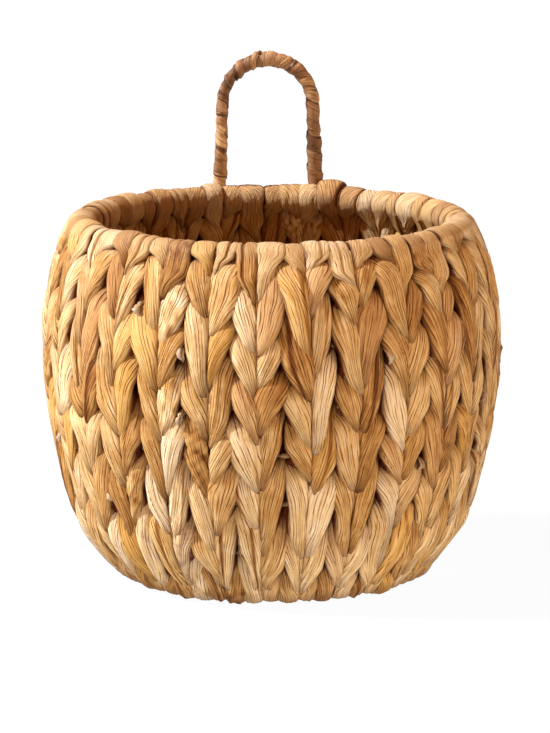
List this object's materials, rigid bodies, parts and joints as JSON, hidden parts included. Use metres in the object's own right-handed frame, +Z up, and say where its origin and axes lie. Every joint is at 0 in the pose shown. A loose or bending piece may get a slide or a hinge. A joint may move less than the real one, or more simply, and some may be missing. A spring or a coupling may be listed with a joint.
{
  "type": "seagrass wall basket",
  "caption": "Round, full-bellied open basket twined from flat dried stems over a wire frame, with a wrapped wire loop at the back of the rim to hang it by.",
  "frame": {"origin": "bottom centre of the bounding box, on the surface that the basket stands on", "axes": "+Z up, front towards -Y, hanging loop at the back on +Y, +X to the right seen from the front"},
  "size_m": [0.2594, 0.2594, 0.2853],
  "materials": {
    "leaf": "dry, fibrous, low sheen",
    "strip": "dry, fibrous, low sheen",
    "wire": "dull tan coat"
  },
  "bodies": {
    "root": {"wall_braid_01": "leaf", "wall_braid_02": "leaf", "wall_braid_03": "leaf", "wall_braid_04": "leaf", "wall_braid_05": "leaf", "wall_braid_06": "leaf", "wall_braid_07": "leaf", "wall_braid_08": "leaf", "wall_braid_09": "leaf", "wall_braid_10": "leaf", "wall_braid_11": "leaf", "wall_braid_12": "leaf", "wall_braid_13": "leaf", "wall_braid_14": "leaf", "wall_braid_15": "leaf", "wall_braid_16": "leaf", "wall_braid_17": "leaf", "wall_braid_18": "leaf", "wall_braid_19": "leaf", "wall_braid_20": "leaf", "wall_braid_21": "leaf", "wall_braid_22": "leaf", "wall_braid_23": "leaf", "wall_braid_24": "leaf", "wall_braid_25": "leaf", "wall_braid_26": "leaf", "wall_braid_27": "leaf", "wall_braid_28": "leaf", "base_braid_1": "leaf", "base_braid_2": "leaf", "base_braid_3": "leaf", "base_braid_4": "leaf", "base_braid_5": "leaf", "rim_wire": "wire", "wall_wire_1": "wire", "wall_wire_2": "wire", "wall_wire_3": "wire", "wall_wire_4": "wire", "wall_wire_5": "wire", "wall_wire_6": "wire", "foot_wire": "wire", "base_wire_1": "wire", "base_wire_2": "wire", "base_wire_3": "wire", "base_wire_4": "wire", "loop_wire": "wire", "loop_wrap": "strip"}
  },
  "joints": []
}
